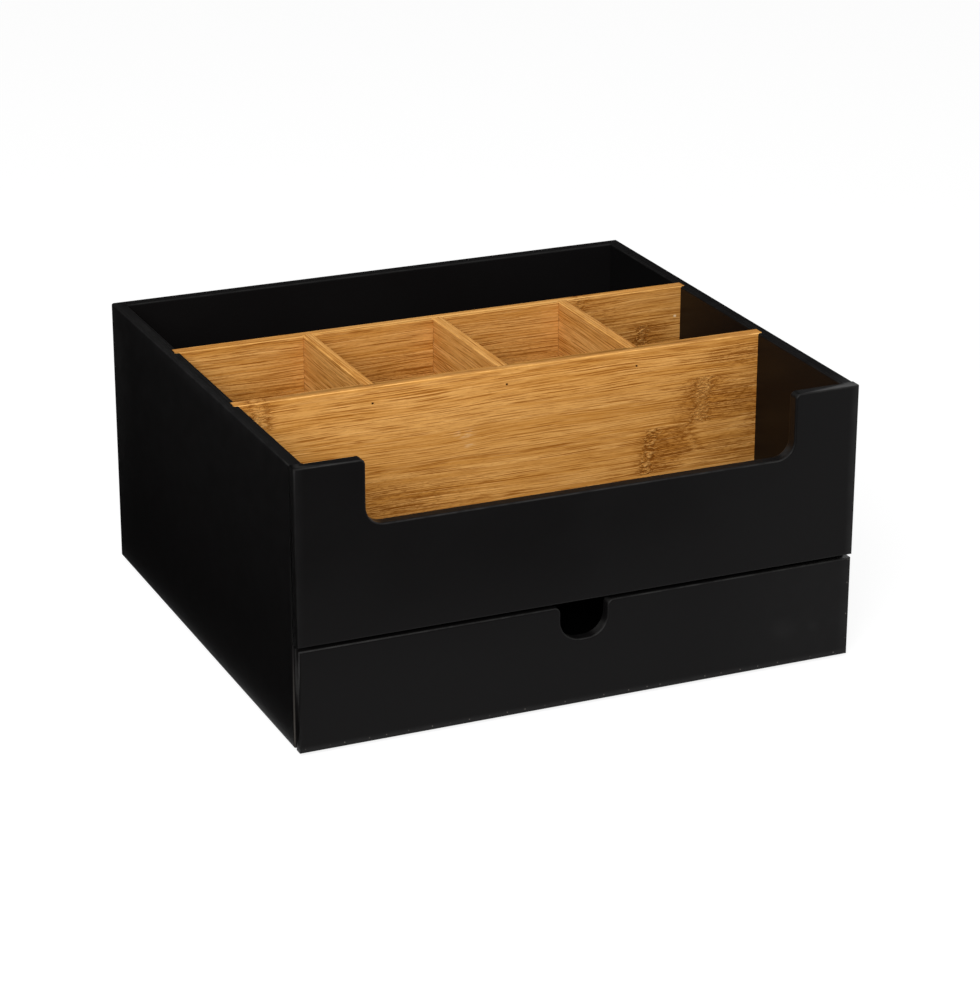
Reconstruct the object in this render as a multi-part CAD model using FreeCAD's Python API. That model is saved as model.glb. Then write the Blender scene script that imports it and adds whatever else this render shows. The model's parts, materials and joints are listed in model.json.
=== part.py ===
import FreeCAD, Part
import os

# Makeup organizer with drawer: a painted case with a notched front, a lift-out rack of
# bamboo dividers above a tray floor, and one full-width drawer with a finger notch.
# Millimetres. X runs along the front to the right, Y from the front to the back, Z up.
# The origin is under the middle of the case, on the surface that it stands on.

# Case
case_width = 260.0
case_depth = 240.0
side_height = 126.0
side_thickness = 6.0
back_thickness = 6.0
front_thickness = 6.0
floor_thickness = 5.0
base_thickness = 4.0
housing_depth = 2.0
edge_easing = 1.0

# Foot pads
pad_radius = 6.0
pad_height = 1.5
pad_margin = 4.0

# Notch in the upper front
notch_width = 198.0
notch_depth = 29.0
notch_corner_radius = 8.0
notch_lip_radius = 2.5

# Drawer front and its finger notch
drawer_front_height = 46.0
drawer_front_thickness = 5.5
drawer_front_standoff = 0.5
drawer_front_inset = 0.5
drawer_top_gap = 1.5
finger_width = 22.0
finger_depth = 16.0
finger_corner_radius = 9.5
finger_lip_radius = 3.0

# Drawer box
drawer_wall = 5.0
drawer_head_gap = 3.2
drawer_side_gap = 0.6
drawer_running_gap = 0.3
drawer_back_gap = 1.5
drawer_bottom_thickness = 3.0
drawer_bottom_rise = 3.0
drawer_groove_depth = 2.0

# Bamboo dividers
front_bay_depth = 75.2
cell_depth = 71.0
cell_count = 4
long_thickness = 6.0
cross_thickness = 5.0
side_slot_depth = 2.5
cross_slot_depth = 2.0
slot_play = 0.2
rack_end_gap = 0.5
rack_seat_gap = 0.2
bamboo_easing = 0.6

# Headless brads of flat wire: in the case and drawer they are under the paint, and in the
# bamboo rack their heads show at the bottom of small open holes
brad_width = 1.25
brad_thickness = 1.05
brad_length = 16.0
brad_cover = 0.8
brad_play = 0.03
brad_end_margin = 22.0
brad_edge_margin = 11.0
brad_box_margin = 7.0
rack_brad_margin = 7.5
brad_rows = 3
drawer_brad_rows = 2
rack_brad_rows = 2

# Two places nearer than this count as one
same_place = 0.01

# Places worked out from the sizes above
half_width = case_width / 2
front_y = -case_depth / 2
back_y = case_depth / 2
side_front_y = front_y + front_thickness
back_face_y = back_y - back_thickness
inner_half = half_width - side_thickness
foot_z = pad_height
top_z = foot_z + side_height
base_top_z = foot_z + base_thickness
front_bottom_z = foot_z + drawer_front_height + drawer_top_gap
floor_top_z = front_bottom_z + floor_thickness

front_divider_y = side_front_y + front_bay_depth
rear_divider_y = front_divider_y + long_thickness + cell_depth
rack_foot_z = floor_top_z + rack_seat_gap
long_half = inner_half + side_slot_depth - rack_end_gap
cell_width = (2 * inner_half - (cell_count - 1) * cross_thickness) / cell_count
cell_pitch = cell_width + cross_thickness
cross_places = [cell_pitch * (i - cell_count / 2) for i in range(1, cell_count)]

drawer_half = inner_half - drawer_side_gap
drawer_front_half = half_width - drawer_front_inset
drawer_front_back_y = side_front_y - drawer_front_standoff
drawer_front_y = drawer_front_back_y - drawer_front_thickness
drawer_back_y = back_face_y - drawer_back_gap
drawer_foot_z = base_top_z + drawer_running_gap
drawer_side_top_z = front_bottom_z - drawer_head_gap
drawer_bottom_z = drawer_foot_z + drawer_bottom_rise


def block(x0, x1, y0, y1, z0, z1):
    """A square-edged board between two opposite corners."""
    corner = FreeCAD.Vector(x0, y0, z0)
    return Part.makeBox(x1 - x0, y1 - y0, z1 - z0, corner)


def lies_on(edge, place):
    """True if the whole edge lies on the planes in place, such as {"x": 3, "z": 0}."""
    box = edge.BoundBox
    spans = {"x": (box.XMin, box.XMax), "y": (box.YMin, box.YMax), "z": (box.ZMin, box.ZMax)}
    return all(
        abs(end - value) < same_place for axis, value in place.items() for end in spans[axis]
    )


def ease(board, radius, *places):
    """Rounds over the board's edges that lie on the given places."""
    edges = [edge for edge in board.Edges if any(lies_on(edge, place) for place in places)]
    return board.makeFillet(radius, edges)


def rounded_outline(corners, y):
    """A closed outline in the XZ plane at y. Each corner is x, z and its rounding."""
    points = [FreeCAD.Vector(x, y, z) for x, z, radius in corners]
    radii = [radius for x, z, radius in corners]
    arcs = []
    for i, point in enumerate(points):
        to_last = (points[i - 1] - point).normalize()
        to_next = (points[(i + 1) % len(points)] - point).normalize()
        if radii[i] == 0:
            arcs.append((point, None, point))
            continue
        setback = radii[i] / FreeCAD.Vector(to_last).cross(to_next).Length
        setback *= 1 + to_last.dot(to_next)
        middle = (to_last + to_next).normalize()
        half_angle_cos = middle.dot(to_last)
        reach = setback / half_angle_cos
        start, end = point + to_last * setback, point + to_next * setback
        arcs.append((start, point + middle * (reach - radii[i]), end))
    edges = []
    for i, (start, middle, end) in enumerate(arcs):
        if middle is not None:
            edges.append(Part.Arc(start, middle, end).toShape())
        next_start = arcs[(i + 1) % len(arcs)][0]
        if end.distanceToPoint(next_start) > same_place:
            edges.append(Part.LineSegment(end, next_start).toShape())
    return Part.Wire(edges)


def plate(corners, y, thickness):
    """A board cut to an outline and standing in the XZ plane, from y backwards."""
    face = Part.Face(rounded_outline(corners, y))
    return face.extrude(FreeCAD.Vector(0, thickness, 0))


def notched_top(half, bottom, top, cut_width, cut_depth, corner_radius, lip_radius):
    """The corners of a board whose top edge has one wide notch in its middle."""
    cut_half, cut_bottom = cut_width / 2, top - cut_depth
    return [
        (-half, bottom, 0), (half, bottom, 0), (half, top, 0),
        (cut_half, top, lip_radius), (cut_half, cut_bottom, corner_radius),
        (-cut_half, cut_bottom, corner_radius), (-cut_half, top, lip_radius),
        (-half, top, 0),
    ]


def spread(start, end, count, margin):
    """Evenly spaced places between two ends, the outer ones a margin in from them."""
    first, last = start + margin, end - margin
    return [first + (last - first) * i / (count - 1) for i in range(count)]


def brad(start, direction, play=0.0, cover=0.0):
    """One level headless brad, or with play the hole that it is driven into.

    With cover the hole also goes on over the brad's head, out to the face of the board.
    """
    across = direction.cross(upwards) * (brad_width / 2 + play)
    rise = upwards * (brad_thickness / 2 + play)
    head = start - direction * cover
    end = [head - across - rise, head + across - rise, head + across + rise, head - across + rise]
    return Part.Face(Part.makePolygon(end + end[:1])).extrude(direction * (brad_length + cover))


def drill(board, brads_at, cover=0.0):
    """Takes the brads' holes out of a board, open to its face where a cover is given."""
    holes = [brad(start, direction, brad_play, cover) for start, direction in brads_at]
    return board.cut(Part.makeCompound(holes))


def mirrored(board):
    """The same board for the other side of the case."""
    return board.mirror(FreeCAD.Vector(0, 0, 0), FreeCAD.Vector(1, 0, 0))


def save(name, shape):
    """Writes one named piece, or one group of alike pieces."""
    shape = shape.removeSplitter()
    assert shape.isValid(), name
    shape.exportStep("parts/" + name + ".step")
    print(name, len(shape.Solids), "solid", round(shape.Volume, 1), "mm3")


# Brads: each is a start point and the way it is driven
right, left = FreeCAD.Vector(1, 0, 0), FreeCAD.Vector(-1, 0, 0)
inwards, outwards = FreeCAD.Vector(0, 1, 0), FreeCAD.Vector(0, -1, 0)
upwards = FreeCAD.Vector(0, 0, 1)
side_start_x = half_width - brad_cover
floor_mid_z = (front_bottom_z + floor_top_z) / 2
base_mid_z = (foot_z + base_top_z) / 2
back_mid_y = (back_y + back_face_y) / 2
side_places = [
    (y, z)
    for z in (floor_mid_z, base_mid_z)
    for y in spread(side_front_y, back_face_y, brad_rows, brad_end_margin)
]
side_places += [(back_mid_y, z) for z in spread(foot_z, top_z, brad_rows, brad_end_margin)]
left_brads = [(FreeCAD.Vector(-side_start_x, y, z), right) for y, z in side_places]
right_brads = [(FreeCAD.Vector(side_start_x, y, z), left) for y, z in side_places]

front_start_y = front_y + brad_cover
side_mid_x = half_width - side_thickness / 2
front_places = [
    (x, z)
    for x in (-side_mid_x, side_mid_x)
    for z in spread(floor_top_z, top_z, brad_rows, brad_edge_margin)
]
front_places += [
    (x, floor_mid_z) for x in spread(-inner_half, inner_half, brad_rows, brad_end_margin)
]
front_brads = [(FreeCAD.Vector(x, front_start_y, z), inwards) for x, z in front_places]

drawer_side_mid_x = drawer_half - drawer_wall / 2
drawer_back_mid_y = drawer_back_y - drawer_wall / 2
drawer_bottom_top_z = drawer_bottom_z + drawer_bottom_thickness
drawer_heights = spread(
    drawer_bottom_top_z, drawer_side_top_z, drawer_brad_rows, brad_box_margin
)
drawer_front_start_y = drawer_front_y + brad_cover
drawer_side_start_x = drawer_half - brad_cover
drawer_front_brads = [
    (FreeCAD.Vector(x, drawer_front_start_y, z), inwards)
    for x in (-drawer_side_mid_x, drawer_side_mid_x)
    for z in drawer_heights
]
drawer_left_brads = [
    (FreeCAD.Vector(-drawer_side_start_x, drawer_back_mid_y, z), right) for z in drawer_heights
]
drawer_right_brads = [
    (FreeCAD.Vector(drawer_side_start_x, drawer_back_mid_y, z), left) for z in drawer_heights
]

rack_places = [
    (x, z)
    for x in cross_places
    for z in spread(rack_foot_z, top_z, rack_brad_rows, rack_brad_margin)
]
rack_front_y = front_divider_y + brad_cover
rack_rear_y = rear_divider_y + long_thickness - brad_cover
rack_front_brads = [(FreeCAD.Vector(x, rack_front_y, z), inwards) for x, z in rack_places]
rack_rear_brads = [(FreeCAD.Vector(x, rack_rear_y, z), outwards) for x, z in rack_places]


def side_panel():
    """The left side: eased outside, housed for the floor, slotted for the long dividers."""
    lower = block(-half_width, -inner_half, side_front_y, back_y, foot_z, front_bottom_z)
    lower = ease(
        lower, edge_easing,
        {"x": -half_width, "z": foot_z}, {"y": back_y, "z": foot_z}, {"y": side_front_y, "z": foot_z},
        {"x": -half_width, "y": back_y}, {"x": -half_width, "y": side_front_y},
        {"x": -inner_half, "y": side_front_y},
    )
    upper = block(-half_width, -inner_half, side_front_y, back_y, front_bottom_z, top_z)
    upper = ease(
        upper, edge_easing,
        {"x": -half_width, "z": top_z}, {"y": back_y, "z": top_z}, {"x": -half_width, "y": back_y},
    )
    panel = lower.fuse(upper).removeSplitter()
    inner_edge = block(
        -inner_half - edge_easing, -inner_half, side_front_y, back_face_y, top_z - edge_easing, top_z
    )
    round_over = Part.makeCylinder(
        edge_easing, back_face_y - side_front_y,
        FreeCAD.Vector(-inner_half - edge_easing, side_front_y, top_z - edge_easing), inwards,
    )
    panel = panel.cut(inner_edge.cut(round_over))
    housing = block(
        -inner_half - housing_depth, -inner_half,
        side_front_y, back_face_y + housing_depth, front_bottom_z, floor_top_z,
    )
    panel = panel.cut(housing)
    for y in (front_divider_y, rear_divider_y):
        slot = block(
            -inner_half - side_slot_depth, -inner_half,
            y - slot_play, y + long_thickness + slot_play, floor_top_z, top_z,
        )
        panel = panel.cut(slot)
    return drill(panel, left_brads + front_brads)


def back_panel():
    """The back, between the sides, with a housing for the rear edge of the floor."""
    panel = block(-inner_half, inner_half, back_face_y, back_y, foot_z, top_z)
    panel = ease(
        panel, edge_easing,
        {"y": back_y, "z": top_z}, {"y": back_face_y, "z": top_z}, {"y": back_y, "z": foot_z},
    )
    housing = block(
        -inner_half, inner_half, back_face_y, back_face_y + housing_depth, front_bottom_z, floor_top_z
    )
    return drill(panel.cut(housing), left_brads + right_brads)


def notched_front_panel():
    """The fixed front over the drawer: it laps the sides, and its notch has blended corners."""
    notch = (notch_width, notch_depth, notch_corner_radius, notch_lip_radius)
    middle = plate(
        notched_top(inner_half, front_bottom_z, top_z, *notch), front_y, front_thickness
    )
    notch_bottom_z = top_z - notch_depth
    behind_notch = [
        edge for edge in middle.Edges
        if lies_on(edge, {"y": side_front_y}) and edge.BoundBox.ZMin > notch_bottom_z - same_place
    ]
    middle = middle.makeFillet(edge_easing, behind_notch)
    ends = [
        block(x, x + side_thickness, front_y, side_front_y, front_bottom_z, top_z)
        for x in (-half_width, inner_half)
    ]
    panel = middle.multiFuse(ends).removeSplitter()
    panel = ease(panel, edge_easing, {"y": front_y})
    return drill(panel, front_brads)


def tray_floor():
    """The floor of the compartments: housed in the sides and back, butted to the front."""
    floor = block(
        -inner_half - housing_depth, inner_half + housing_depth,
        side_front_y, back_face_y + housing_depth, front_bottom_z, floor_top_z,
    )
    return drill(floor, left_brads + right_brads + front_brads)


def base_panel():
    """The bottom of the case, between the sides, that the drawer slides on."""
    base = block(-inner_half, inner_half, side_front_y, back_face_y, foot_z, base_top_z)
    base = ease(base, edge_easing, {"y": side_front_y, "z": base_top_z})
    return drill(base, left_brads + right_brads)


def foot_pads():
    """Four self-adhesive pads under the base, which lift the drawer front off the table."""
    from_wall = pad_margin + pad_radius
    pads = [
        Part.makeCylinder(pad_radius, pad_height, FreeCAD.Vector(x, y, 0))
        for x in (-inner_half + from_wall, inner_half - from_wall)
        for y in (side_front_y + from_wall, back_face_y - from_wall)
    ]
    return Part.makeCompound(pads)


def long_divider(y, slots_at):
    """A full-width bamboo divider from y backwards, with slots in one face for the cross ones."""
    divider = block(-long_half, long_half, y, y + long_thickness, rack_foot_z, top_z)
    divider = ease(divider, bamboo_easing, {"y": y, "z": top_z}, {"y": y + long_thickness, "z": top_z})
    for x in cross_places:
        half_slot = cross_thickness / 2 + slot_play
        slot = block(
            x - half_slot, x + half_slot, slots_at, slots_at + cross_slot_depth, rack_foot_z, top_z
        )
        divider = divider.cut(slot)
    return drill(divider, rack_front_brads + rack_rear_brads, brad_cover)


def cross_divider(x):
    """A short bamboo divider, glued and nailed into the slots of the long ones."""
    y0 = front_divider_y + long_thickness - cross_slot_depth
    y1 = rear_divider_y + cross_slot_depth
    x0, x1 = x - cross_thickness / 2, x + cross_thickness / 2
    divider = block(x0, x1, y0, y1, rack_foot_z, top_z)
    divider = ease(divider, bamboo_easing, {"x": x0, "z": top_z}, {"x": x1, "z": top_z})
    return drill(divider, rack_front_brads + rack_rear_brads)


def drawer_front():
    """The drawer's face, as wide as the case, with a finger notch in its top edge."""
    finger = (finger_width, finger_depth, finger_corner_radius, finger_lip_radius)
    top = foot_z + drawer_front_height
    panel = plate(
        notched_top(drawer_front_half, foot_z, top, *finger), drawer_front_y, drawer_front_thickness
    )
    panel = ease(panel, edge_easing, {"y": drawer_front_y}, {"y": drawer_front_back_y})
    return drill(panel.cut(drawer_bottom_space()), drawer_front_brads)


def drawer_bottom_space():
    """The drawer's bottom board, which is also the shape of the grooves that hold it."""
    reach = drawer_half - drawer_wall + drawer_groove_depth
    return block(
        -reach, reach, drawer_front_back_y - drawer_groove_depth,
        drawer_back_y - drawer_wall + drawer_groove_depth,
        drawer_bottom_z, drawer_bottom_top_z,
    )


def drawer_side():
    """The drawer's left side, which runs on the base."""
    x0, x1 = -drawer_half, -drawer_half + drawer_wall
    side = block(x0, x1, drawer_front_back_y, drawer_back_y, drawer_foot_z, drawer_side_top_z)
    side = ease(
        side, edge_easing,
        {"x": x0, "z": drawer_side_top_z}, {"x": x1, "z": drawer_side_top_z},
        {"x": x0, "y": drawer_back_y}, {"x": x0, "z": drawer_foot_z},
    )
    return drill(side.cut(drawer_bottom_space()), drawer_front_brads + drawer_left_brads)


def drawer_back():
    """The drawer's back, between its sides."""
    half = drawer_half - drawer_wall
    y0 = drawer_back_y - drawer_wall
    back = block(-half, half, y0, drawer_back_y, drawer_foot_z, drawer_side_top_z)
    back = ease(
        back, edge_easing,
        {"y": y0, "z": drawer_side_top_z}, {"y": drawer_back_y, "z": drawer_side_top_z},
    )
    return drill(back.cut(drawer_bottom_space()), drawer_left_brads + drawer_right_brads)


def brad_group(brads_at):
    """A group of alike brads, driven where the list says."""
    return Part.makeCompound([brad(start, direction) for start, direction in brads_at])


os.makedirs("parts", exist_ok=True)

save("left_side_panel", side_panel())
save("right_side_panel", mirrored(side_panel()))
save("back_panel", back_panel())
save("notched_front_panel", notched_front_panel())
save("tray_floor", tray_floor())
save("base_panel", base_panel())
save("foot_pads", foot_pads())

save("front_divider", long_divider(front_divider_y, front_divider_y + long_thickness - cross_slot_depth))
save("rear_divider", long_divider(rear_divider_y, rear_divider_y))
for name, x in zip(("left", "middle", "right"), cross_places):
    save("cross_divider_" + name, cross_divider(x))

save("drawer_front", drawer_front())
save("drawer_left_side", drawer_side())
save("drawer_right_side", mirrored(drawer_side()))
save("drawer_back", drawer_back())
save("drawer_bottom", drawer_bottom_space())

save("side_brads", brad_group(left_brads + right_brads))
save("front_brads", brad_group(front_brads))
save("drawer_brads", brad_group(drawer_front_brads + drawer_left_brads + drawer_right_brads))
save("rack_brads", brad_group(rack_front_brads + rack_rear_brads))
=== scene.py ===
# %% [markdown]
# A makeup organizer with one drawer stands on a pale table. Its case is fibreboard under satin black
# paint, and a rack of bamboo boards lifts out of it. The boards, their joints and their sizes come from
# a fixed frame of measured solids. This lesson gives them their finish: smooth rounded edges, bamboo
# with its fibres and knuckles, paint with its haze and rubbed edges, and the light to see them in.

# %% Load the frame
import json
import math

import bmesh
import bpy
from mathutils import Matrix, Vector


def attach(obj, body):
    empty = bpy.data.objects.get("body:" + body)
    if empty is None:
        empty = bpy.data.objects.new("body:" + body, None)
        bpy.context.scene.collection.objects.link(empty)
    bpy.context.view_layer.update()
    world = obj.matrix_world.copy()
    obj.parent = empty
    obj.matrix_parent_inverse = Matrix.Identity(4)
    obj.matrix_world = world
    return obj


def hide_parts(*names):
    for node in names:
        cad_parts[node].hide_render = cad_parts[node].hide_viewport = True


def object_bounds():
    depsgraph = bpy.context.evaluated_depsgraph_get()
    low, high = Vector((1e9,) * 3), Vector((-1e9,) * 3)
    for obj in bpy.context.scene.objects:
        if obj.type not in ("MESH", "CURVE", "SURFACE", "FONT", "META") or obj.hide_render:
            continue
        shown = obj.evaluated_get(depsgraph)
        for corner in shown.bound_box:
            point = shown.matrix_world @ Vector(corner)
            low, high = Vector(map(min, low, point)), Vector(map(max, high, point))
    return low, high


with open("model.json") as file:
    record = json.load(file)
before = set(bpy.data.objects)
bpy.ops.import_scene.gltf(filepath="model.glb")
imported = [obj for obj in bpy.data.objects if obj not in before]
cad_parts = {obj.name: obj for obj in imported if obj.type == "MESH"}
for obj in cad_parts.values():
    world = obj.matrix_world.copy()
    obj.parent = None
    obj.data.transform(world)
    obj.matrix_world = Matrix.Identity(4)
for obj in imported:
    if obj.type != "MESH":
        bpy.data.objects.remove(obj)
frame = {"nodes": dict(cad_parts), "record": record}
frame_low, frame_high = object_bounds()
node_body = {
    node: body for body, nodes in frame["record"]["behaviour"]["bodies"].items() for node in nodes
}

# %% [markdown]
# A camera is placed by three plain facts of the photograph: how far round it stands, how high it looks
# down from, and how long its lens is. A long lens from far away keeps the box's edges nearly parallel.
# Building the camera's own right, up and back directions first makes its matrix easy to read, and the
# view needs no target object or constraint. The camera's place is then three lengths along these
# directions, from the point on the table under the middle of the box.

# %% Camera
MM = 0.001
camera_azimuth = math.radians(-23.894)
camera_elevation = math.radians(20.967)
camera_roll = math.radians(0.151)
camera_lens = 119.359
camera_place = Vector((8.46, 52.95, 1499.23)) * MM


def turned_camera(azimuth, elevation, roll):
    """The camera's right, up and back directions as the columns of a matrix."""
    back = Vector((
        math.sin(azimuth) * math.cos(elevation),
        -math.cos(azimuth) * math.cos(elevation),
        math.sin(elevation),
    ))
    right = Vector((0, 0, 1)).cross(back).normalized()
    level = Matrix((right, back.cross(right), back)).transposed()
    return level @ Matrix.Rotation(roll, 3, "Z")


camera_turn = turned_camera(camera_azimuth, camera_elevation, camera_roll)
camera_data = bpy.data.cameras.new("camera")
camera_data.lens = camera_lens
camera = bpy.data.objects.new("camera", camera_data)
camera.matrix_world = Matrix.Translation(camera_turn @ camera_place) @ camera_turn.to_4x4()
bpy.context.scene.collection.objects.link(camera)
bpy.context.scene.camera = camera
bpy.context.scene.view_settings.view_transform = "Standard"
print("camera at", [round(v, 3) for v in camera.matrix_world.translation])

# %% [markdown]
# A material or a Geometry Nodes tree is a formula, so it is easiest to follow when it is written like
# one. This small helper adds a node, sets or links its inputs, and gives back its output, so the lines
# below nest and name their steps as arithmetic does. The same helper serves shaders and geometry.


# %% A helper that writes node trees as formulas
class Formula:
    """Adds linked nodes to a tree. Each call gives back a node or its first output."""

    def __init__(self, tree):
        self.tree = tree

    def node(self, kind, inputs=(), **settings):
        """One node, with its inputs set to a constant or linked to another node's output."""
        node = self.tree.nodes.new(kind)
        for name, value in settings.items():
            setattr(node, name, value)
        for key, value in dict(inputs).items():
            if isinstance(value, bpy.types.NodeSocket):
                self.tree.links.new(value, node.inputs[key])
            else:
                node.inputs[key].default_value = value
        return node

    def math(self, operation, *values):
        """One step of arithmetic on numbers."""
        return self.node("ShaderNodeMath", enumerate(values), operation=operation).outputs[0]

    def vector(self, operation, *values):
        """One step of arithmetic on vectors."""
        return self.node("ShaderNodeVectorMath", enumerate(values), operation=operation).outputs[0]

    def total(self, *values):
        """The sum of several numbers."""
        result = values[0]
        for value in values[1:]:
            result = self.math("ADD", result, value)
        return result

    def product(self, *values):
        """The product of several numbers."""
        result = values[0]
        for value in values[1:]:
            result = self.math("MULTIPLY", result, value)
        return result

    def ramp(self, value, start, end, low=0.0, high=1.0):
        """Goes smoothly from low to high while value goes from start to end."""
        inputs = {"Value": value, "From Min": start, "From Max": end, "To Min": low, "To Max": high}
        return self.node("ShaderNodeMapRange", inputs, interpolation_type="SMOOTHSTEP").outputs[0]

    def noise(self, place, sizes, seed=0.0, detail=2.0, rough=0.5):
        """Cloudy noise from 0 to 1, whose patches have these sizes along x, y and z."""
        scaled = self.vector("DIVIDE", place, sizes)
        shift = self.node("ShaderNodeCombineXYZ", {"X": seed, "Y": seed, "Z": seed}).outputs[0]
        inputs = {
            "Vector": self.vector("ADD", scaled, shift), "Scale": 1.0, "Detail": detail, "Roughness": rough,
        }
        return self.node("ShaderNodeTexNoise", inputs).outputs[0]

    def mix(self, share, first, second, blend="MIX"):
        """The first colour, with a share of the second over it."""
        inputs = {0: share, 6: first, 7: second}
        return self.node("ShaderNodeMix", inputs, data_type="RGBA", blend_type=blend).outputs[2]

    def group(self, tree, inputs):
        """The outputs of a node group that is used here, by name."""
        node = self.node("ShaderNodeGroup", (), node_tree=tree)
        for key, value in inputs.items():
            if isinstance(value, bpy.types.NodeSocket):
                self.tree.links.new(value, node.inputs[key])
            else:
                node.inputs[key].default_value = value
        return node.outputs

    def parts(self, vector):
        """The x, y and z of a vector."""
        return self.node("ShaderNodeSeparateXYZ", {0: vector}).outputs[:]

    def join(self, x=0.0, y=0.0, z=0.0):
        """A vector from its x, y and z."""
        return self.node("ShaderNodeCombineXYZ", {"X": x, "Y": y, "Z": z}).outputs[0]


def new_material(name):
    """An empty material, its formula, its main shader, and its place on the object in millimetres."""
    material = bpy.data.materials.new(name)
    material.use_nodes = True
    material.node_tree.nodes.clear()
    formula = Formula(material.node_tree)
    shader = formula.node("ShaderNodeBsdfPrincipled")
    formula.node("ShaderNodeOutputMaterial", {"Surface": shader.outputs[0]})
    on_object = formula.node("ShaderNodeTexCoord").outputs["Object"]
    place = formula.vector("MULTIPLY", on_object, (1 / MM, 1 / MM, 1 / MM))
    return material, formula, shader, place


def finish_shader(formula, shader, colour, roughness, height):
    """Links a colour, a roughness and a height in millimetres to the main shader."""
    bump = formula.node("ShaderNodeBump", {"Height": height, "Strength": 1.0, "Distance": MM})
    links = formula.tree.links
    links.new(colour, shader.inputs["Base Color"])
    links.new(roughness, shader.inputs["Roughness"])
    links.new(bump.outputs[0], shader.inputs["Normal"])


# %% [markdown]
# Satin black paint on fibreboard looks flat until it is seen close. The roller leaves a faint orange
# peel, the gloss varies in broad clouds, hands leave a haze, and the paint is thin and rubbed on the
# rounded edges. Some of the lighter spots are painted sheen and a painted reflection of the table, and
# the rounded edges that face up carry a painted highlight as well as rubbed paint. A flat board's normal
# points along one axis and a rounded edge's does not, so the edge can be found from the normal alone,
# with no painted mask. The drawer's front has a row of tiny chips near its edges, where the saw's
# splinters show through the paint. One-dimensional Voronoi cells set them at uneven steps. One arris
# beside the drawer has a painted highlight in the bare board's colour.

# %% Black paint
paint_colour = (0.0038, 0.0035, 0.0036, 1)
paint_haze_and_sheen_colour = (0.0110, 0.0107, 0.0108, 1)
paint_rubbed_and_highlight_colour = (0.021, 0.0205, 0.020, 1)
bare_board_and_highlight_colour = (0.10, 0.09, 0.08, 1)
paint_gloss = 0.07
paint_roughness = 0.34


def facing(formula):
    """The x, y and z of the direction that the surface faces."""
    return formula.parts(formula.node("ShaderNodeNewGeometry").outputs["Normal"])


def rounded_edge(formula):
    """1 on a rounded edge and 0 on a flat face, from the direction of the normal."""
    sizes = [formula.math("ABSOLUTE", part) for part in facing(formula)]
    longest = formula.math("MAXIMUM", formula.math("MAXIMUM", sizes[0], sizes[1]), sizes[2])
    return formula.ramp(longest, 0.985, 0.80)


def soft_spot(formula, place, centre, radii):
    """1 at the centre of a soft oval spot and 0 outside it."""
    away = formula.vector("DIVIDE", formula.vector("SUBTRACT", place, centre), radii)
    distance = formula.node("ShaderNodeVectorMath", {0: away}, operation="LENGTH").outputs["Value"]
    return formula.ramp(distance, 1.0, 0.0)


def row_of_chips(formula, along, away, pitch):
    """1 on small round chips in a row: along runs along the row, away is the distance from it, in mm."""
    cells = formula.node("ShaderNodeTexVoronoi", {
        "W": along, "Scale": 1 / pitch, "Randomness": 0.4,
    }, voronoi_dimensions="1D").outputs["Distance"]
    reach = formula.join(formula.product(cells, pitch), away)
    distance = formula.node("ShaderNodeVectorMath", {0: reach}, operation="LENGTH").outputs["Value"]
    return formula.ramp(distance, 0.36, 0.14)


def black_paint(name, hazes_and_sheens=(), chips=(), painted_highlights=()):
    """Satin paint. Each haze or sheen is the centre, the radii and the strength of a soft lighter spot; the
    list mixes hand smudges with painted sheen and painted reflection. Each row of chips is the axis it runs
    along, the axis and the place it keeps to, and its pitch. Each painted highlight is a spot in the bare
    board's colour, given by its centre and its radii. All in mm."""
    material, formula, shader, place = new_material(name)
    clouds = formula.noise(place, (60, 60, 45), seed=3.1, detail=3)
    drift = formula.noise(place, (9, 9, 9), seed=8.4, detail=3, rough=0.6)
    peel = formula.noise(place, (1.3, 1.3, 1.3), seed=1.7, detail=2)
    haze_and_sheen = formula.ramp(clouds, 0.35, 0.75, 0.0, 0.07)
    uneven = formula.ramp(drift, 0.3, 0.7, 0.6, 1.0)
    # Listed spots lighten the paint: hand smudges, painted sheen and painted reflection.
    for centre, radii, strength in hazes_and_sheens:
        spot = soft_spot(formula, place, centre, radii)
        haze_and_sheen = formula.total(haze_and_sheen, formula.product(spot, uneven, strength))
    colour = formula.mix(formula.math("MINIMUM", haze_and_sheen, 1.0), paint_colour, paint_haze_and_sheen_colour)
    parts = formula.parts(place)
    # Rounded edges near the front are lighter: rubbed paint, plus a painted highlight that grows where they
    # face up.
    lit_from_above = formula.ramp(facing(formula)[2], 0.0, 0.5, 0.15, 1.0)
    handled = formula.ramp(parts[1], -90.0, -116.0, 0.4, 1.0)
    rubbed_and_highlight = formula.product(
        rounded_edge(formula), lit_from_above, handled, formula.ramp(drift, 0.35, 0.65, 0.35, 1.0)
    )
    colour = formula.mix(rubbed_and_highlight, colour, paint_rubbed_and_highlight_colour)
    broken = formula.ramp(drift, 0.35, 0.60)
    for along, across, kept, pitch in chips:
        away = formula.math("SUBTRACT", parts[across], kept)
        row = row_of_chips(formula, parts[along], away, pitch)
        colour = formula.mix(formula.product(row, broken), colour, bare_board_and_highlight_colour)
    # Painted highlights, in the bare board's colour.
    for centre, radii in painted_highlights:
        spot = soft_spot(formula, place, centre, radii)
        share = formula.product(spot, formula.ramp(drift, 0.25, 0.50, 0.4, 0.8))
        colour = formula.mix(share, colour, bare_board_and_highlight_colour)
    roughness = formula.total(paint_roughness, formula.ramp(clouds, 0.3, 0.7, 0.0, 0.08))
    height = formula.total(formula.product(peel, 0.016), formula.product(drift, 0.02))
    finish_shader(formula, shader, colour, roughness, height)
    shader.inputs["Specular IOR Level"].default_value = paint_gloss
    return material


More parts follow.
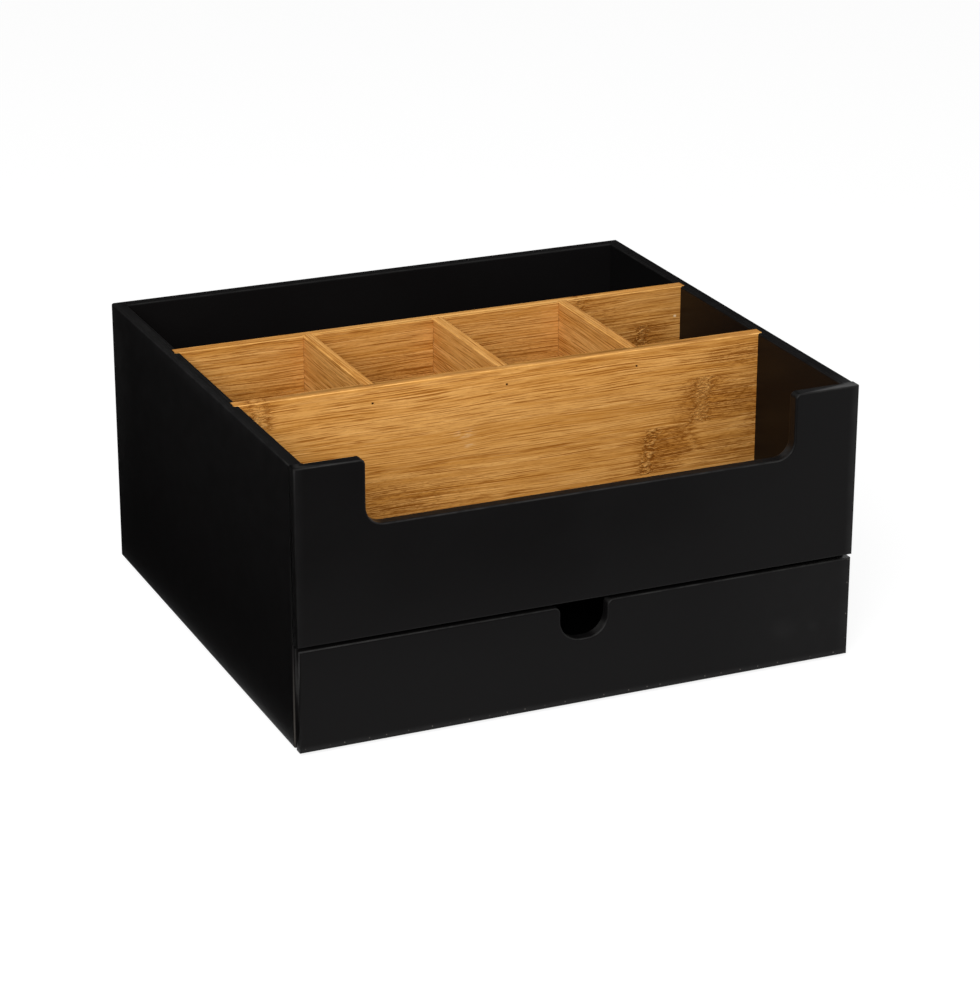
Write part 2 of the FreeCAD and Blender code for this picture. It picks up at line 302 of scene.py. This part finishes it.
case_paint = black_paint(
    "case_paint",
    # All of these spots are painted sheen: they lighten the left side, its top edge and the right front
    # corner.
    hazes_and_sheens=[
        ((-130, 120, 95), (5, 30, 70), 0.5), ((-130, -10, 128), (4, 130, 10), 0.5),
        ((-130, 0, 150), (5, 400, 170), 0.55), ((130, -120, 90), (5, 20, 120), 1.8),
    ],
    # A painted highlight on the left arris beside the drawer.
    painted_highlights=[((-130, -114, 8), (0.9, 0.8, 52))],
)
print("paint", len(case_paint.node_tree.nodes), "nodes")

# %% [markdown]
# Bamboo board is glued up from flat strips, each about twenty millimetres high, with the fibres all
# along the board. What the eye reads as bamboo are the fibre bundles: crisp brown lines, well under a
# millimetre wide, that start, fade and stop at random. So they are built as lines and not as clouds.
# The height on the board is cut into narrow rows, every row gets one line at a random height in it, and
# a noise along the row says where the line shows. Three sets of rows of unlike height lie over each
# other, and a slow drift keeps the lines from running dead straight.
# A group holds the pattern once, in a place whose x runs along the fibres and whose z runs down from
# the top edge. The long and the cross boards then only turn that place. A little of y is added to the
# height, so that the lines run on over the narrow top face too.

# %% Bamboo strips
strip_height = 21.5
first_strip = 17.0
fibre_black = (0.18, 0.049, 0.004, 1)
fibre_dark = (0.30, 0.094, 0.008, 1)
fibre_brown = (0.46, 0.175, 0.024, 1)
fibre_mid = (0.66, 0.312, 0.071, 1)
fibre_pale = (0.85, 0.465, 0.155, 1)
arris_highlight_colour = (0.93, 0.57, 0.20, 1)
scuff_colour = (0.86, 0.62, 0.36, 1)


def new_group(name, inputs, outputs, kind="ShaderNodeTree"):
    """An empty node group with named sockets, its formula and its inputs."""
    tree = bpy.data.node_groups.new(name, kind)
    for in_out, sockets in (("INPUT", inputs), ("OUTPUT", outputs)):
        for socket, form in sockets.items():
            tree.interface.new_socket(socket, in_out=in_out, socket_type="NodeSocket" + form)
    formula = Formula(tree)
    return tree, formula, formula.node("NodeGroupInput").outputs


def fibre_lines(formula, x, z, seed, pitch, length, width):
    """Thin lines along x, one in every row of z: how much of a line is at a place, from 0 to 1."""
    rows = formula.total(formula.math("DIVIDE", z, pitch), formula.product(seed, 17.3))
    row = formula.math("FLOOR", rows)
    own_number = formula.join(row, seed, pitch)
    chance = formula.node("ShaderNodeTexWhiteNoise", {"Vector": own_number}).outputs["Color"]
    height, start, strength = formula.node("ShaderNodeSeparateColor", {0: chance}).outputs[:3]
    in_row = formula.math("SUBTRACT", rows, row)
    middle = formula.ramp(height, 0.0, 1.0, 0.2, 0.8)
    away = formula.product(formula.math("ABSOLUTE", formula.math("SUBTRACT", in_row, middle)), pitch)
    line = formula.ramp(away, width, width * 0.3)
    run = formula.total(formula.math("DIVIDE", x, length), formula.product(start, 90.0))
    inputs = {"Vector": formula.join(run, row), "Scale": 1.0, "Detail": 2.0}
    shown = formula.ramp(formula.node("ShaderNodeTexNoise", inputs).outputs[0], 0.42, 0.58)
    return formula.product(line, shown, formula.ramp(strength, 0.0, 1.0, 0.35, 1.0))


def strips_group():
    """A node group: the colour and height of bamboo strips, with knots where it is told."""
    tree, formula, given = new_group(
        "bamboo_strips",
        {"Place": "Vector", "Board": "Float", "Shift": "Float", "Knot": "Float", "Core": "Float",
         "Brown": "Float"},
        {"Colour": "Color", "Height": "Float", "Lines": "Float"},
    )
    x, y, z = formula.parts(given["Place"])
    knot, core = given["Knot"], given["Core"]
    brown = formula.math("MINIMUM", given["Brown"], 1.2)
    rows = formula.math("DIVIDE", formula.math("SUBTRACT", z, first_strip), strip_height)
    strip = formula.math("FLOOR", rows)
    seed = formula.total(formula.product(strip, 0.731), formula.product(given["Board"], 0.377))
    drift = formula.noise(formula.join(x, 0.0, z), (130, 1, 24), seed)
    lean = formula.product(formula.math("SUBTRACT", drift, 0.5), 7.0)
    height = formula.total(z, formula.product(y, 0.9), lean, given["Shift"])
    along = formula.join(x, y, height)

    bands = formula.noise(along, (120, 8, 3.8), seed, detail=3)
    patches = formula.noise(along, (28, 8, 7), seed, detail=2)
    fine = fibre_lines(formula, x, height, seed, 0.70, 20.0, 0.25)
    medium = fibre_lines(formula, x, height, seed, 1.30, 30.0, 0.34)
    broad = fibre_lines(formula, x, height, seed, 3.3, 60.0, 0.60)
    light = fibre_lines(formula, x, formula.total(height, 0.5), seed, 1.15, 24.0, 0.36)
    dashes = formula.noise(along, (2.6, 1, 0.34), seed, detail=2, rough=0.6)
    bent = formula.join(x, y, formula.total(z, formula.product(given["Shift"], 0.16)))
    crinkles = formula.noise(bent, (2.6, 2, 0.66), seed, detail=2, rough=0.6)

    colour = formula.mix(formula.ramp(bands, 0.34, 0.66), fibre_brown, fibre_pale)
    colour = formula.mix(0.66, colour, fibre_mid)
    colour = formula.mix(formula.product(brown, 0.55), colour, fibre_brown)
    colour = formula.mix(formula.product(light, 0.65), colour, fibre_pale)
    shown = formula.total(formula.ramp(patches, 0.35, 0.65, 0.60, 1.1), formula.product(brown, 0.5))
    ink = formula.mix(formula.product(brown, 0.7), fibre_dark, fibre_black)
    for lines, share in ((fine, 1.05), (medium, 1.15), (broad, 0.30)):
        share = formula.math("MINIMUM", formula.product(lines, shown, share), 0.95)
        colour = formula.mix(share, colour, ink)
    dash = formula.total(0.22, formula.product(brown, 0.4))
    colour = formula.mix(formula.product(formula.ramp(dashes, 0.52, 0.66), dash), colour, fibre_dark)
    smear = formula.product(formula.ramp(dashes, 0.50, 0.60), brown, 0.55)
    colour = formula.mix(smear, colour, fibre_black)
    whole = formula.product(knot, formula.total(1.0, formula.product(core, -0.6)))
    colour = formula.mix(formula.product(knot, core, 0.3), colour, fibre_pale)
    colour = formula.mix(formula.product(whole, 0.42), colour, fibre_brown)
    ridges = formula.product(knot, formula.ramp(crinkles, 0.45, 0.35), 0.48)
    colour = formula.mix(ridges, colour, fibre_pale)
    furrows = formula.product(whole, formula.ramp(crinkles, 0.50, 0.56), 0.85)
    colour = formula.mix(furrows, colour, fibre_black)
    joint_line = formula.ramp(formula.math("PINGPONG", rows, 0.5), 0.010, 0.003)
    colour = formula.mix(formula.product(joint_line, 0.25), colour, fibre_dark)
    lines = formula.math("MAXIMUM", fine, medium)
    relief = formula.total(
        formula.product(lines, -0.02), formula.product(joint_line, -0.03),
        formula.product(knot, formula.ramp(crinkles, 0.35, 0.60, 0.12, -0.12)),
    )
    formula.node("NodeGroupOutput", {"Colour": colour, "Height": relief, "Lines": lines})
    return tree


strips = strips_group()
print("strips", len(strips.nodes), "nodes")

# %% [markdown]
# A bamboo stem has a knuckle every few hand widths, where its fibres swirl and knot. In a flat strip it
# shows as a crinkled band across the strip, sometimes with a smooth pale core, with short dark dashes
# trailing off on one side and a soft brown patch on the other. The group below measures how far a point
# is from one knuckle's middle, made uneven by a little noise, and says how much the fibres are thrown
# off course there, how knotted they are and how brown. The strips' pattern follows these, so the same
# fibres run into the knot and swirl. The thin lacquer is sanded off the arrises, and the arrises that
# face the front get a painted highlight in a pale colour.

# %% Bamboo knuckles


def knuckle_group():
    """A node group: the shift of the fibres, the knot, its core and the brown of one knuckle."""
    tree, formula, given = new_group(
        "bamboo_knuckle",
        {"Place": "Vector", "Middle": "Float", "Top": "Float", "Bottom": "Float", "Width": "Float",
         "Trail": "Float", "Pale": "Float", "Lean": "Float", "Strength": "Float"},
        {"Shift": "Float", "Knot": "Float", "Core": "Float", "Brown": "Float"},
    )
    place, seed = given["Place"], given["Middle"]
    x, y, z = formula.parts(place)
    inside = formula.product(
        formula.math("GREATER_THAN", z, given["Top"]), formula.math("LESS_THAN", z, given["Bottom"])
    )
    swing = formula.noise(place, (30, 30, 9), seed, detail=2)
    ripple = formula.noise(place, (6, 4, 1.6), seed, detail=3)
    wander = formula.total(
        formula.product(formula.math("SUBTRACT", swing, 0.5), 7.0),
        formula.product(formula.math("SUBTRACT", ripple, 0.5), 6.0),
        formula.product(formula.math("SUBTRACT", z, given["Top"]), given["Lean"]),
    )
    off = formula.math(
        "DIVIDE", formula.total(formula.math("SUBTRACT", x, given["Middle"]), wander), given["Width"]
    )
    away = formula.math("ABSOLUTE", off)
    knot = formula.product(inside, formula.ramp(away, 1.3, 0.7), given["Strength"])
    core = formula.product(formula.ramp(away, 0.95, 0.35), given["Pale"])
    trail = formula.product(inside, formula.ramp(off, 0.2, 0.9), formula.ramp(off, given["Trail"], 0.0))
    before = formula.product(inside, formula.ramp(off, -3.0, -0.8), formula.ramp(off, -0.2, -0.9), 0.6)
    swirl = formula.noise(place, (3.0, 3, 3.0), seed, detail=2, rough=0.6)
    shift = formula.product(knot, formula.math("SUBTRACT", swirl, 0.5), 8.0)
    brown = formula.total(trail, before)
    formula.node("NodeGroupOutput", {"Shift": shift, "Knot": knot, "Core": core, "Brown": brown})
    return tree


knuckle = knuckle_group()
cross_pitch = 63.25
lacquer_gloss = 0.05


def bamboo(name, board, along, through, knuckles=(), stains_and_shade=(), scuffs=(), brown_shade=0.0, shade=1.0):
    """Bamboo board material. along and through are 0 for x or 1 for y: the way the fibres run, and the
    board's thickness. Each knuckle is its middle, top, bottom, width, trail, pale core, lean and strength.
    Stains are soft brown spots, some of them painted shade, and scuffs are pale ones. All of these are in
    millimetres. The browning of the whole board and the shade that darkens it are both painted shade."""
    material, formula, shader, place = new_material(name)
    parts = formula.parts(place)
    down = formula.math("SUBTRACT", frame_high.z / MM, parts[2])
    turned = formula.join(parts[along], parts[through], down)
    found = {"Shift": 0.0, "Knot": 0.0, "Core": 0.0, "Brown": brown_shade}
    for middle, upper, lower, width, trail, pale, lean, strength in knuckles:
        one = formula.group(knuckle, {
            "Place": turned, "Middle": middle, "Top": upper, "Bottom": lower, "Width": width,
            "Trail": trail, "Pale": pale, "Lean": lean, "Strength": strength,
        })
        found = {key: formula.total(one[key], value) for key, value in found.items()}

    def spots(places):
        """Soft spots, each at x and z with half a length and half a height, and a strength."""
        for x, z, half_length, half_height, strength in places:
            spot = soft_spot(formula, turned, (x, 0, z), (half_length, 1e4, half_height))
            yield formula.product(spot, strength)

    found["Brown"] = formula.total(found["Brown"], *spots(stains_and_shade))
    if board is None:
        board = formula.math("ROUND", formula.math("DIVIDE", parts[through], cross_pitch))
    wood = formula.group(strips, {"Place": turned, "Board": board, **found})
    colour = wood["Colour"]
    rub = formula.ramp(formula.noise(turned, (4.0, 2, 0.8), seed=5.0, detail=2), 0.40, 0.60)
    for spot in spots(scuffs):
        colour = formula.mix(formula.product(spot, rub), colour, scuff_colour)
    arris = rounded_edge(formula)
    # Arrises that face the front get a painted highlight in a pale colour.
    front_highlight = formula.ramp(facing(formula)[1], 0.25, -0.25)
    colour = formula.mix(formula.product(arris, front_highlight, 0.42), colour, arris_highlight_colour)
    # Painted shade: the whole colour is multiplied down.
    colour = formula.mix(1.0, colour, (shade, shade, shade, 1), blend="MULTIPLY")
    roughness = formula.ramp(wood["Lines"], 0.0, 1.0, 0.50, 0.64)
    finish_shader(formula, shader, colour, roughness, wood["Height"])
    gloss = formula.ramp(arris, 0.0, 1.0, lacquer_gloss, 0.0)
    formula.tree.links.new(gloss, shader.inputs["Specular IOR Level"])
    return material


front_bamboo = bamboo(
    "front_bamboo", 1.0, along=0, through=1,
    knuckles=[
        (-115, -1, 13, 4.5, 2, 0.3, 0.0, 0.65), (97, 17, 38.5, 5.5, 5, 0.40, 0.06, 0.8),
        (71, 38.5, 60, 3.0, 8, 0.0, 0.10, 1.0), (88, 38.5, 52, 2.4, 3, 0.2, -0.45, 0.35),
    ],
    # Most spots are brown stains by the knuckles; the spot at 126 mm is painted shade by the case's right
    # wall, and the broad low spot at -70 mm darkens the lower left.
    stains_and_shade=[
        (114, 9, 26, 8, 1.0), (119, 30, 18, 10, 0.9), (80, 50, 16, 12, 1.2), (94, 30, 28, 14, 0.5),
        (112, 52, 26, 12, 0.5), (-70, 56, 80, 20, 0.8), (126, 32, 15, 32, 0.9),
    ],
    scuffs=[(-20, 27.5, 7, 3.0, 0.5), (-18, 33, 5, 2.0, 0.3)],
)
rear_bamboo = bamboo(
    "rear_bamboo", 2.0, along=0, through=1,
    knuckles=[(72, -1, 17, 3.0, 3, 0.0, 0.1, 0.7), (104, 17, 38.5, 3.5, 5, 0.3, 0.0, 1.0)],
    # The four broad low spots are painted shade in the cells; the two near the knuckles are brown stains.
    stains_and_shade=[
        (84, 9, 16, 9, 0.5), (108, 28, 20, 10, 0.7), (-92, 32, 60, 20, 0.6), (-25, 30, 70, 20, 0.6),
        (35, 30, 60, 20, 0.6), (95, 24, 50, 20, 0.3),
    ],
    # The browning and darkening of the whole rear board are painted shade in the cells. The pale spot near
    # the right end is a small fleck.
    scuffs=[(121.3, 14.4, 0.8, 0.8, 9.0)], brown_shade=0.05, shade=0.88,
)
cross_bamboo = bamboo("cross_bamboo", None, along=1, through=0)
print("bamboo", [len(m.node_tree.nodes) for m in (front_bamboo, rear_bamboo, cross_bamboo)], "nodes")

# %% [markdown]
# The small hardware gets honest finishes too. Brad wire is drawn steel with fine scratches along it. The
# brads in the rack are dark brown: a painted reflection of the bamboo around them and painted shade of
# their holes. A foam pad is matt with open cells.

# %% Wire and foam


def drawn_wire(name, dark, bright):
    """Wire with fine scratches along it, between a dark and a bright colour."""
    material, formula, shader, place = new_material(name)
    scratches = formula.noise(place, (0.25, 4, 0.25), seed=2.0, detail=3)
    colour = formula.mix(scratches, dark, bright)
    roughness = formula.ramp(scratches, 0.3, 0.7, 0.30, 0.50)
    finish_shader(formula, shader, colour, roughness, formula.product(scratches, 0.01))
    shader.inputs["Metallic"].default_value = 1.0
    return material


def foam():
    """Black foam with small open cells."""
    material, formula, shader, place = new_material("foam")
    cells = formula.node("ShaderNodeTexVoronoi", {"Vector": place, "Scale": 2.2}).outputs["Distance"]
    colour = formula.mix(cells, (0.012, 0.012, 0.012, 1), (0.035, 0.035, 0.035, 1))
    roughness = formula.ramp(cells, 0, 1, 0.98, 0.85)
    finish_shader(formula, shader, colour, roughness, formula.product(cells, 0.12))
    shader.inputs["Specular IOR Level"].default_value = 0.2
    return material


bright_wire = drawn_wire("bright_wire", (0.42, 0.42, 0.43, 1), (0.66, 0.66, 0.67, 1))
# Dark brown wire: painted reflection of the bamboo and painted shade in the holes.
brown_wire = drawn_wire("brown_wire", (0.055, 0.026, 0.010, 1), (0.14, 0.070, 0.03, 1))
pad_foam = foam()
print("wire and foam", [len(m.node_tree.nodes) for m in (bright_wire, brown_wire, pad_foam)], "nodes")

# %% [markdown]
# The frame's solids come as loose triangles with hard facets. A board is finished from a copy: the
# copy's points are merged, its flat faces keep one straight normal, and its rounded edges are shaded
# smoothly between them. The Weighted Normal modifier does this by giving large faces the most say.

# %% Boards with smooth rounded edges
merge_distance = 0.005 * MM
smooth_angle = math.radians(50)


def plain_mesh(piece):
    """Replaces a piece's mesh by what its modifiers make of it, and takes the modifiers off."""
    graph = bpy.context.evaluated_depsgraph_get()
    made = bpy.data.meshes.new_from_object(
        piece.evaluated_get(graph), preserve_all_data_layers=True, depsgraph=graph
    )
    piece.modifiers.clear()
    piece.data = made
    return made


def stand_for(node, name, mesh, material):
    """A smooth piece made from a mesh, which stands for a frame node in its own material."""
    shape = bmesh.new()
    shape.from_mesh(mesh)
    bmesh.ops.remove_doubles(shape, verts=shape.verts, dist=merge_distance)
    for face in shape.faces:
        face.smooth = True
    shape.to_mesh(mesh)
    shape.free()
    mesh.set_sharp_from_angle(angle=smooth_angle)
    mesh.materials.clear()
    mesh.materials.append(material)
    piece = bpy.data.objects.new(name, mesh)
    bpy.context.scene.collection.objects.link(piece)
    normals = piece.modifiers.new("normals", "WEIGHTED_NORMAL")
    normals.keep_sharp = True
    normals.weight = 80
    plain_mesh(piece)
    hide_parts(node)
    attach(piece, node_body[node])
    return piece


def finish_board(node, name, material):
    """Finishes a copy of a frame node."""
    return stand_for(node, name, frame["nodes"][node].data.copy(), material)


drawer_paint = black_paint(
    "drawer_paint", chips=[(0, 2, 3.4, 9.2), (2, 0, 128.0, 9.0)],
    # The two small spots near 97 and 112 mm are hand smudges. The broad spots at the right end are painted
    # sheen, and the flat strip along the bottom edge is a painted reflection of the table.
    hazes_and_sheens=[
        ((125, -120, 24), (80, 40, 70), 0.28), ((97, -120, 19), (9, 20, 8), 0.32),
        ((112, -120, 18), (5, 20, 4), 0.32), ((130, -120, 24), (7, 20, 80), 0.9),
        ((0, -120, 1.5), (800, 40, 3.6), 2.4),
    ],
)
boards = [
    ("left_side_panel", "left_side", case_paint), ("right_side_panel", "right_side", case_paint),
    ("back_panel", "back", case_paint), ("notched_front_panel", "notched_front", case_paint),
    ("tray_floor", "floor_board", case_paint), ("base_panel", "base_board", case_paint),
    ("drawer_left_side", "drawer_left", case_paint), ("drawer_right_side", "drawer_right", case_paint),
    ("drawer_back", "drawer_rear", case_paint), ("drawer_bottom", "drawer_floor", case_paint),
    ("drawer_front", "drawer_face", drawer_paint), ("front_divider", "front_board", front_bamboo),
    ("rear_divider", "rear_board", rear_bamboo),
]
for node, name, material in boards:
    piece = finish_board(node, name, material)
    print(name, len(piece.data.polygons), "faces")

# %% [markdown]
# What repeats is drawn once and set down by a rule. The three cross boards, the brads of the rack and
# the foot pads are each one shape, and Geometry Nodes copy it to where the frame has its solids. The
# places are measured from the frame itself, as the middles of a node's separate shells, so a shape
# always lands where its solid is. A board or a brad is a rounded profile swept along a straight line,
# and a pad is a disc drawn up in three steps, narrow, wide and narrow again.

# %% Shapes that repeat


def shell_middles(node):
    """The middle of every separate shell of a frame node, and the size of the first."""
    shape = bmesh.new()
    shape.from_mesh(frame["nodes"][node].data)
    bmesh.ops.remove_doubles(shape, verts=shape.verts, dist=merge_distance)
    left, boxes = set(shape.verts), []
    while left:
        shell, edge = set(), [left.pop()]
        while edge:
            vert = edge.pop()
            shell.add(vert)
            near = {link.other_vert(vert) for link in vert.link_edges} & left
            left -= near
            edge.extend(near)
        low = Vector([min(vert.co[axis] for vert in shell) for axis in range(3)])
        high = Vector([max(vert.co[axis] for vert in shell) for axis in range(3)])
        boxes.append((low, high))
    shape.free()
    boxes.sort(key=lambda box: tuple(round(value, 5) for value in box[0]))
    return [(low + high) / 2 for low, high in boxes], boxes[0][1] - boxes[0][0]


def repeat_tree(name, sizes, build):
    """A geometry tree that sets a shape down on every point of a mesh. build draws the shape."""
    inputs = {"Geometry": "Geometry", **{size: "Float" for size in sizes}, "Material": "Material"}
    tree, formula, given = new_group(name, inputs, {"Geometry": "Geometry"}, "GeometryNodeTree")
    copies = formula.node("GeometryNodeInstanceOnPoints", {
        "Points": given["Geometry"], "Instance": build(formula, given),
    }).outputs[0]
    real = formula.node("GeometryNodeRealizeInstances", {0: copies}).outputs[0]
    done = formula.node("GeometryNodeSetMaterial", {
        "Geometry": real, "Material": given["Material"],
    }).outputs[0]
    formula.node("NodeGroupOutput", {"Geometry": done})
    return tree


def swept_bar(formula, given):
    """A bar along y with a rounded profile: Width along x, Length along y and Height along z."""
    profile = formula.node("GeometryNodeCurvePrimitiveQuadrilateral", {
        "Width": given["Width"], "Height": given["Height"],
    }).outputs[0]
    rounded = formula.node("GeometryNodeFilletCurve", {
        "Curve": profile, "Radius": given["Easing"], "Count": 4,
    }, mode="POLY").outputs[0]
    reach = formula.product(given["Length"], 0.5)
    line = formula.node("GeometryNodeCurvePrimitiveLine", {
        "Start": formula.join(0.0, formula.product(reach, -1.0)), "End": formula.join(0.0, reach),
    }).outputs[0]
    return formula.node("GeometryNodeCurveToMesh", {
        "Curve": line, "Profile Curve": rounded, "Fill Caps": True,
    }).outputs[0]


def drawn_disc(formula, given):
    """A disc with rounded rims: Width across and Height along z, about its own middle."""
    radius = formula.product(given["Width"], 0.5)
    easing = given["Easing"]
    narrow = formula.math("DIVIDE", formula.math("SUBTRACT", radius, easing), radius)
    wall = formula.math("SUBTRACT", given["Height"], formula.product(easing, 2.0))
    disc = formula.node("GeometryNodeMeshCircle", {
        "Vertices": 48, "Radius": formula.product(radius, narrow),
    }, fill_type="NGON").outputs[0]
    under = formula.node("GeometryNodeFlipFaces", {0: disc}).outputs[0]
    steps = (
        (easing, formula.math("DIVIDE", 1.0, narrow)), (wall, 1.0), (easing, narrow),
    )
    top = None
    for rise, scale in steps:
        drawn = formula.node("GeometryNodeExtrudeMesh", {
            "Mesh": disc, "Offset Scale": rise, "Individual": False, **({"Selection": top} if top else {}),
        }, mode="FACES")
        top = drawn.outputs["Top"]
        disc = formula.node("GeometryNodeScaleElements", {
            "Geometry": drawn.outputs["Mesh"], "Selection": top, "Scale": scale,
        }).outputs[0]
    both = formula.node("GeometryNodeJoinGeometry")
    for geometry in (under, disc):
        formula.tree.links.new(geometry, both.inputs[0])
    whole = formula.node("GeometryNodeMergeByDistance", {"Geometry": both.outputs[0], "Distance": 1e-6})
    down = formula.join(0.0, 0.0, formula.product(given["Height"], -0.5))
    return formula.node("GeometryNodeTransform", {
        "Geometry": whole.outputs[0], "Translation": down,
    }).outputs[0]


bar_tree = repeat_tree("repeated_bars", ("Width", "Length", "Height", "Easing"), swept_bar)
disc_tree = repeat_tree("repeated_discs", ("Width", "Height", "Easing"), drawn_disc)


def repeat(tree, node, name, material, easing):
    """Stands for a frame node with a tree's shape, copied to the middles of the node's shells."""
    middles, size = shell_middles(node)
    mesh = bpy.data.meshes.new(name)
    mesh.from_pydata(middles, [], [])
    grower = bpy.data.objects.new(name + "_places", mesh)
    bpy.context.scene.collection.objects.link(grower)
    modifier = grower.modifiers.new("repeat", "NODES")
    modifier.node_group = tree
    values = {
        "Width": size.x, "Length": size.y, "Height": size.z, "Easing": easing * MM, "Material": material,
    }
    for item in tree.interface.items_tree:
        if item.in_out == "INPUT" and item.name in values:
            modifier[item.identifier] = values[item.name]
    made = plain_mesh(grower)
    bpy.data.objects.remove(grower)
    piece = stand_for(node, name, made, material)
    print(name, len(middles), "copies,", len(piece.data.polygons), "faces")
    return piece


for side in ("left", "middle", "right"):
    repeat(bar_tree, "cross_divider_" + side, "cross_board_" + side, cross_bamboo, 0.6)
repeat(bar_tree, "rack_brads", "rack_nails", brown_wire, 0.15)
repeat(disc_tree, "foot_pads", "feet", pad_foam, 0.3)

# %% [markdown]
# The brads in the case and the drawer are plain round wire, and filler and paint hide them. The frame's
# own solids are good enough for them, so they stay as they are and only get the wire's finish.

# %% Hidden brads
for node in ("side_brads", "front_brads", "drawer_brads"):
    frame["nodes"][node].data.materials.clear()
    frame["nodes"][node].data.materials.append(bright_wire)
    print(node, len(frame["nodes"][node].data.polygons), "faces")

# %% [markdown]
# The studio is a pale table in a white room, with soft boxes above and in front. Black work is lit the
# way a photographer lights it, with black cards around it, so that the paint mirrors something dark and
# stays black. Two narrow cards lie on the table for the same reason. A real card has to stay out of the
# picture. These are hidden from the camera and cast no shadow, so one can stand right beside the box.
# The table is plain white paper for the light, but the camera sees it as a white glow with a weak share
# of the real light in it. So it is as white as the room and still keeps the box's shadow.

# %% Table, cards and light


def flat_sheet(name, corners, material):
    """One flat rectangle with the given corners, which belongs to the studio."""
    mesh = bpy.data.meshes.new(name)
    mesh.from_pydata(corners, [], [(0, 1, 2, 3)])
    mesh.materials.append(material)
    sheet = bpy.data.objects.new(name, mesh)
    bpy.context.scene.collection.objects.link(sheet)
    return sheet


def seen_directly(formula):
    """1 for a ray that shows the background: from the camera, in a gloss or through glass."""
    path = formula.node("ShaderNodeLightPath").outputs
    seen = formula.math("MAXIMUM", path["Is Camera Ray"], path["Is Glossy Ray"])
    return formula.math("MAXIMUM", seen, path["Is Transmission Ray"])


paper_colour = (0.8, 0.8, 0.8, 1)
shadow_share = (0.22, 0.22, 0.22, 1)
table_glow = 0.85


def table_material():
    """A white table that keeps a faint shadow where it is seen, and is plain pale paper elsewhere."""
    material = bpy.data.materials.new("table")
    material.use_nodes = True
    material.node_tree.nodes.clear()
    formula = Formula(material.node_tree)
    paper = formula.node("ShaderNodeBsdfDiffuse", {"Color": paper_colour})
    shadow = formula.node("ShaderNodeBsdfDiffuse", {"Color": shadow_share})
    glow = formula.node("ShaderNodeEmission", {"Color": (1, 1, 1, 1), "Strength": table_glow})
    white = formula.node("ShaderNodeAddShader", {0: shadow.outputs[0], 1: glow.outputs[0]})
    shown = formula.node("ShaderNodeMixShader", {
        0: seen_directly(formula), 1: paper.outputs[0], 2: white.outputs[0],
    })
    formula.node("ShaderNodeOutputMaterial", {"Surface": shown.outputs[0]})
    return material


def card_material():
    """Matt black card."""
    material, _, shader, _ = new_material("black_card")
    shader.inputs["Base Color"].default_value = (0.06, 0.06, 0.06, 1)
    shader.inputs["Roughness"].default_value = 1.0
    shader.inputs["Specular IOR Level"].default_value = 0.0
    return material


table_half = 4.0
flat_sheet(
    "table",
    [(-table_half, -table_half, 0), (table_half, -table_half, 0), (table_half, table_half, 0),
     (-table_half, table_half, 0)],
    table_material(),
)
beside_x = -0.1325
before_y = -0.37
before_right_x = 0.183
behind_y = 0.45
lying_z = 0.5 * MM


def standing(start, end, height):
    """The corners of a card that stands on the line from start to end on the table."""
    return [(*start, 0), (*end, 0), (*end, height), (*start, height)]


def lying(*corners):
    """The corners of a card that lies just over the table."""
    return [(x, y, lying_z) for x, y in corners]


cards = [
    ("left_card", standing((beside_x, -0.30), (beside_x, 0.6), 0.6)),
    ("front_card", standing((-0.9, before_y), (before_right_x, before_y), 0.7)),
    ("low_front_card", lying((-0.9, before_y), (before_right_x, before_y), (0.13, -0.25), (-0.9, -0.25))),
    ("low_left_card", lying((beside_x, -0.13), (-0.1321, -0.13), (-0.1303, 0.2), (beside_x, 0.2))),
    ("back_card", standing((-0.7, behind_y), (0.5, behind_y), 0.9)),
]
card = card_material()
for name, corners in cards:
    sheet = flat_sheet(name, corners, card)
    sheet.visible_camera = False
    sheet.visible_shadow = False
    sheet.visible_diffuse = False

world = bpy.data.worlds.new("studio")
bpy.context.scene.world = world
world.use_nodes = True
world.node_tree.nodes.clear()
formula = Formula(world.node_tree)
room_light = 0.40
strength = formula.math("MAXIMUM", seen_directly(formula), room_light)
background = formula.node("ShaderNodeBackground", {"Color": (1, 1, 1, 1), "Strength": strength})
formula.node("ShaderNodeOutputWorld", {"Surface": background.outputs[0]})


def soft_box(name, place, target, size, power):
    """A square soft box in the studio that faces a target."""
    data = bpy.data.lights.new(name, "AREA")
    data.shape = "SQUARE"
    data.size = size
    data.energy = power
    lamp = bpy.data.objects.new(name, data)
    lamp.location = place
    lamp.rotation_euler = (Vector(target) - Vector(place)).to_track_quat("-Z", "Y").to_euler()
    bpy.context.scene.collection.objects.link(lamp)
    return lamp


middle = (0.0, 0.0, 0.08)
box_size = 1.2
top_power = 2.5
front_power = 40.5
soft_box("top_box", (-0.35, -0.35, 1.5), middle, box_size, top_power)
soft_box("front_box", (-0.9, -1.4, 1.2), middle, box_size, front_power)
print("studio", len(cards), "cards, lamps of", top_power, "and", front_power, "W")
